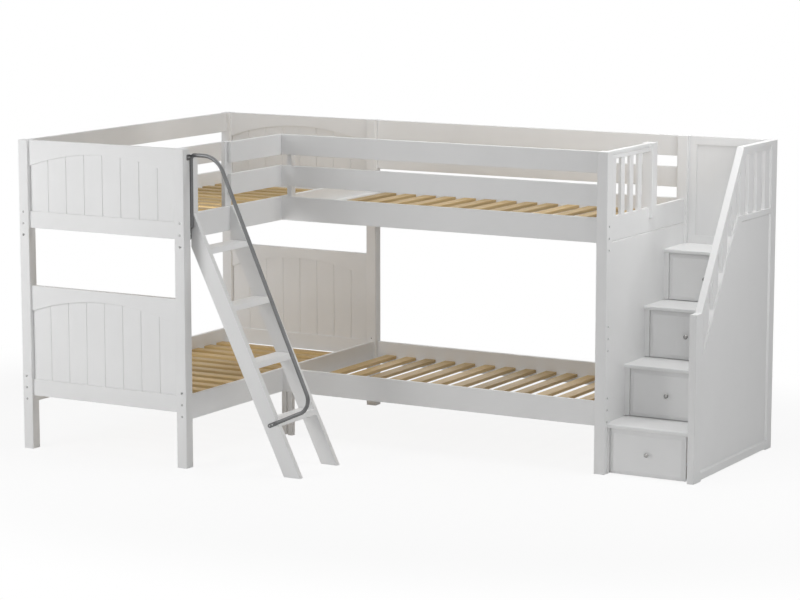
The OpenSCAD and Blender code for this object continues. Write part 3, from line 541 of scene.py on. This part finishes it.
HEAD_POINTS = 12                 # round a head, and so two for each side of its socket
HEAD_DOME = ((0.0, 1.0), (0.45, 1.0), (0.85, 0.86), (1.0, 0.66))  # height and radius
SCREW = {"radius": 4.2, "height": 2.4, "socket": 1.7, "depth": 1.5}
BOLT_SOCKET = {"radius": 6.1, "height": 1.6, "socket": 3.0, "depth": 1.3}
HEAD_REACH = 0.5                 # points this near a bolt's end are on its end face


def oval(z, centre, half_x, half_y, squareness):
    """A ring at a height z, from a circle (2) to a rounded rectangle (5 and more)."""
    points = []
    for i in range(RING):
        angle = 2 * math.pi * i / RING
        c, s = math.cos(angle), math.sin(angle)
        points.append((half_x * math.copysign(abs(c) ** (2 / squareness), c),
                       centre + half_y * math.copysign(abs(s) ** (2 / squareness), s), z))
    return points


def pressed_end(bm, matrix):
    """A tube's end pressed into a flat tab that lies on the face at +Y."""
    middle = TUBE_RADIUS + WALL_GAP - TAB_THICKNESS / 2
    half = TAB_THICKNESS / 2
    rings = []
    for k in range(PRESS_STEPS + 1):
        share = k / PRESS_STEPS
        ease = share ** 2 * (3 - 2 * share)
        rings.append(oval(PRESS_LENGTH * share, middle * ease,
                          TUBE_RADIUS + (TAB_HALF_WIDTH - TUBE_RADIUS) * ease,
                          TUBE_RADIUS + (half - TUBE_RADIUS) * ease,
                          ROUND + (SQUARE - ROUND) * ease))
    straight = PRESS_LENGTH + TAB_LENGTH - TAB_HALF_WIDTH
    for k in range(TAB_NOSE_STEPS + 1):
        angle = math.radians(TAB_NOSE_TURN) * k / TAB_NOSE_STEPS
        rings.append(oval(straight + TAB_HALF_WIDTH * math.sin(angle), middle,
                          TAB_HALF_WIDTH * math.cos(angle), half, SQUARE))
    loft(bm, matrix, rings)


def rounded_plate(bm, low, high):
    """The plate: thin along X, with rounded corners and an eased edge on its +X face."""
    middle = [(a + b) / 2 for a, b in zip(low, high)]
    straight = [(b - a) / 2 - PLATE_CORNER for a, b in zip(low, high)]
    rings = []
    for x, inset in ((low[0], 0.0), (high[0] - PLATE_BEVEL, 0.0), (high[0], PLATE_BEVEL)):
        ring = []
        for quarter in range(4):
            side_y = 1 if quarter in (0, 3) else -1
            side_z = 1 if quarter in (0, 1) else -1
            for k in range(PLATE_CORNER_STEPS + 1):
                angle = math.radians(90 * (quarter + k / PLATE_CORNER_STEPS))
                reach = PLATE_CORNER - inset
                ring.append((x,
                             middle[1] + side_y * straight[1] + reach * math.cos(angle),
                             middle[2] + side_z * straight[2] + reach * math.sin(angle)))
        rings.append(ring)
    loft(bm, place(0, 0, 0), rings)


def circle(z, radius):
    """A ring of a screw head at a height z."""
    return [(radius * math.cos(2 * math.pi * i / HEAD_POINTS),
             radius * math.sin(2 * math.pi * i / HEAD_POINTS), z)
            for i in range(HEAD_POINTS)]


def hexagon(z, radius):
    """A hexagon at a height z: its corners and the middles of its sides."""
    flat = math.cos(math.pi / 6)
    return [(x * (flat if i % 2 else 1.0), y * (flat if i % 2 else 1.0), z)
            for i, (x, y, z) in enumerate(circle(z, radius))]


def socket_head(bm, matrix, radius, height, socket, depth):
    """A domed screw head with a hexagonal socket, standing on the face at z = 0."""
    dome = [circle(height * up, radius * out) for up, out in HEAD_DOME]
    loft(bm, matrix, dome + [hexagon(height, socket), hexagon(height - depth, socket)])


def make_handrail_ends(coat, metal):
    """The pressed ends of the tube on the rail and the stile, the plate, and their screws."""
    foot = place(TUBE_FOOT[0], TUBE_PLANE_Y, TUBE_FOOT[1], turned(-90, "Z") @ turned(180, "X"))
    low_end = place(TUBE_LOW_END[0], TUBE_PLANE_Y, TUBE_LOW_END[1],
                    turned(-90 - TUBE_LEAN, "Y"))
    ends = bmesh.new()
    screws = bmesh.new()
    tab_face = TUBE_RADIUS + WALL_GAP - TAB_THICKNESS
    for end in (foot, low_end):
        pressed_end(ends, end)
        for share in TAB_SCREWS:
            spot = Matrix.Translation((0.0, tab_face, PRESS_LENGTH + TAB_LENGTH * share))
            socket_head(screws, end @ spot @ turned(90, "X"), **SCREW)
    rounded_plate(ends, *PLATE)
    plate_low, plate_high = PLATE
    for y in PLATE_SCREWS_Y:
        spot = place(plate_high[0], y, (plate_low[2] + plate_high[2]) / 2, turned(90, "Y"))
        socket_head(screws, spot, **SCREW)
    as_piece("handrail_ends", ends, coat, replaced="handrail_brackets")
    as_piece("handrail_screws", screws, metal)


def bolt_places():
    """Each bolt's head face, read from its node's mesh: its middle and its outward axis."""
    found = []
    for points in islands("bed_bolts"):
        low, high = corners(points)
        axis = max(range(3), key=lambda i: high[i] - low[i])
        side = (axis + 1) % 3
        widths = {}
        for way, level in ((-1, low[axis]), (1, high[axis])):
            near = [p[side] for p in points if abs(p[axis] - level) < HEAD_REACH * MM]
            widths[way] = max(near) - min(near)
        way = max(widths, key=widths.get)
        middle = (low + high) / 2
        middle[axis] = high[axis] if way > 0 else low[axis]
        outward = Vector((0.0, 0.0, 0.0))
        outward[axis] = way
        found.append((middle, outward))
    return found


def make_bolt_sockets(metal):
    """The hexagonal sockets of the bed bolts, on the heads' faces inside their bores."""
    bm = bmesh.new()
    for middle, outward in bolt_places():
        turn = outward.to_track_quat("Z", "Y").to_matrix().to_4x4()
        matrix = Matrix.Translation(middle) @ turn @ Matrix.Scale(MM, 4)
        socket_head(bm, matrix, **BOLT_SOCKET)
    as_piece("bolt_sockets", bm, metal)


# ---------------------------------------------------------------- slats

SLAT_WIDTH = 68.0 * MM
SLAT_EASE = 2.5 * MM
SLAT_EASE_STEPS = 3


def board(bm, low, high):
    """A slat between two corners, with rounded edges."""
    verts = bmesh.ops.create_cube(bm, size=1.0)["verts"]
    for vert in verts:
        vert.co = Vector([low[i] + (vert.co[i] + 0.5) * (high[i] - low[i])
                          for i in range(3)])
    edges = list({edge for vert in verts for edge in vert.link_edges})
    bmesh.ops.bevel(bm, geom=edges, offset=SLAT_EASE, segments=SLAT_EASE_STEPS,
                    profile=0.5, affect="EDGES")


def make_slats(finishes):
    """Slats of their photographed width, each on the cleats where its solid lies.

    A left slat stays centred on its solid, and a right one keeps its solid's +X edge."""
    for side, axis in (("left", "y"), ("right", "x")):
        across = AXES[axis]
        for level in ("upper", "lower"):
            name = side + "_" + level + "_slats"
            bm = bmesh.new()
            for points in islands(name):
                low, high = corners(points)
                if side == "left":
                    high[across] -= (high[across] - low[across] - SLAT_WIDTH) / 2
                low[across] = high[across] - SLAT_WIDTH
                board(bm, low, high)
            as_piece(name + "_eased", bm, finishes[side, "slat_wood"],
                     replaced=name)


# ---------------------------------------------------------------- floor, world and lamps

FLOOR_SIDE = 400.0
FLOOR_COLOUR = (0.93, 0.93, 0.93, 1.0)
FLOOR_ROUGHNESS = 0.9
# The floor shows its shading, and so the shadow, near the object and is plain white past it.
SHADOW_REACH = (2.9, 2.1, 1.0)
SHADOW_FADE = (1.0, 1.5)
NEAR_GLOW = 0.88
WORLD_LIGHT = 0.11
LAMPS = {
    # name: (place, looked-at point, width, height, watts)
    "left": ((-2.4, -3.8, 1.7), (-1.3, -1.0, 0.9), 2.0, 2.0, 37.0),
    "left_above": ((-2.7, -4.0, 3.3), (-1.3, -1.0, 0.9), 2.0, 2.0, 33.0),
    "camera_side": ((6.5, -9.0, 4.0), (0.5, 0.0, 0.8), 4.0, 4.0, 120.0),
    "left_side": ((-5.5, 1.5, 2.2), (-1.5, 0.2, 0.9), 3.0, 3.0, 24.0),
    "over": ((0.5, 0.0, 5.5), (0.5, 0.0, 0.8), 5.0, 4.0, 72.0),
    "high_over_stairs": ((1.5, 0.35, 5.2), (1.5, 0.35, 0.6), 1.0, 1.0, 35.0),
    "over_stairs": ((1.9, 0.4, 3.2), (1.5, 0.5, 0.6), 1.5, 1.5, 6.0),
    "right_of_stairs": ((3.4, -0.3, 2.4), (1.3, 0.4, 0.7), 1.0, 1.0, 19.0),
    "beside_inner_wall": ((1.70, 0.15, 1.45), (1.25, 0.15, 1.35), 1.1, 0.2, 0.4),
    "behind": ((-1.0, 5.5, 2.6), (0.0, 1.0, 0.8), 4.0, 3.0, 35.0),
    "over_back_guards": ((0.0, 0.10, 1.87), (0.0, 1.02, 1.5), 3.3, 0.25, 1.8),
    "under_upper_slats": ((-1.24, -0.3, 1.16), (-1.24, 1.0, 0.6), 0.9, 0.2, 2.8),
}


def make_floor():
    """The floor, which keeps the shadow near the object."""
    mesh = bpy.data.meshes.new("floor")
    bm = bmesh.new()
    bmesh.ops.create_grid(bm, x_segments=2, y_segments=2, size=FLOOR_SIDE / 2)
    bm.to_mesh(mesh)
    bm.free()
    g = Graph("pale_floor")
    g.surface(Base_Color=FLOOR_COLOUR, Roughness=FLOOR_ROUGHNESS, Specular_IOR_Level=0.0)
    reach = g.vector("DIVIDE", {0: g.place, 1: SHADOW_REACH}).outputs[0]
    distance = g.vector("LENGTH", {0: reach}).outputs["Value"]
    fade = g.add("ShaderNodeMapRange", {
        "Value": distance, "From Min": SHADOW_FADE[0], "From Max": SHADOW_FADE[1],
        "To Min": NEAR_GLOW, "To Max": 1.0}, interpolation_type="SMOOTHSTEP").outputs[0]
    white = g.add("ShaderNodeEmission").outputs[0]
    g.show(g.maths("MULTIPLY", fade, g.seen_directly()), g.shader.outputs[0], white,
           "Material Output")
    mesh.materials.append(g.material)
    add_to_scene("floor", mesh)


def make_world():
    """A weak light from all sides, which is plain white where it is seen."""
    world = bpy.data.worlds.new("studio")
    bpy.context.scene.world = world
    world.use_nodes = True
    w = Tree(world.node_tree)
    light = world.node_tree.nodes["Background"]
    w.feed(light.inputs["Color"], WHITE)
    w.feed(light.inputs["Strength"], WORLD_LIGHT)
    white = w.add("ShaderNodeBackground", {"Color": WHITE})
    w.show(w.seen_directly(), light.outputs[0], white.outputs[0], "World Output")


def make_lamps():
    """The lamps, which the camera doesn't see."""
    for name, (at, target, width, height, watts) in LAMPS.items():
        data = bpy.data.lights.new(name, "AREA")
        data.shape = "RECTANGLE"
        data.size = width
        data.size_y = height
        data.energy = watts
        lamp = add_to_scene(name, data)
        lamp.visible_camera = False
        lamp.location = at
        look(lamp, Vector(target) - Vector(at))


# ---------------------------------------------------------------- the scene

make_camera()
make_floor()
make_world()
make_lamps()
all_finishes = make_finishes()
paint_nodes(all_finishes)
make_slats(all_finishes)
make_handrail_ends(all_finishes["grey_metal"], all_finishes["zinc_bolt"])
make_bolt_sockets(all_finishes["zinc_bolt"])

bpy.context.scene.view_settings.view_transform = "Standard"
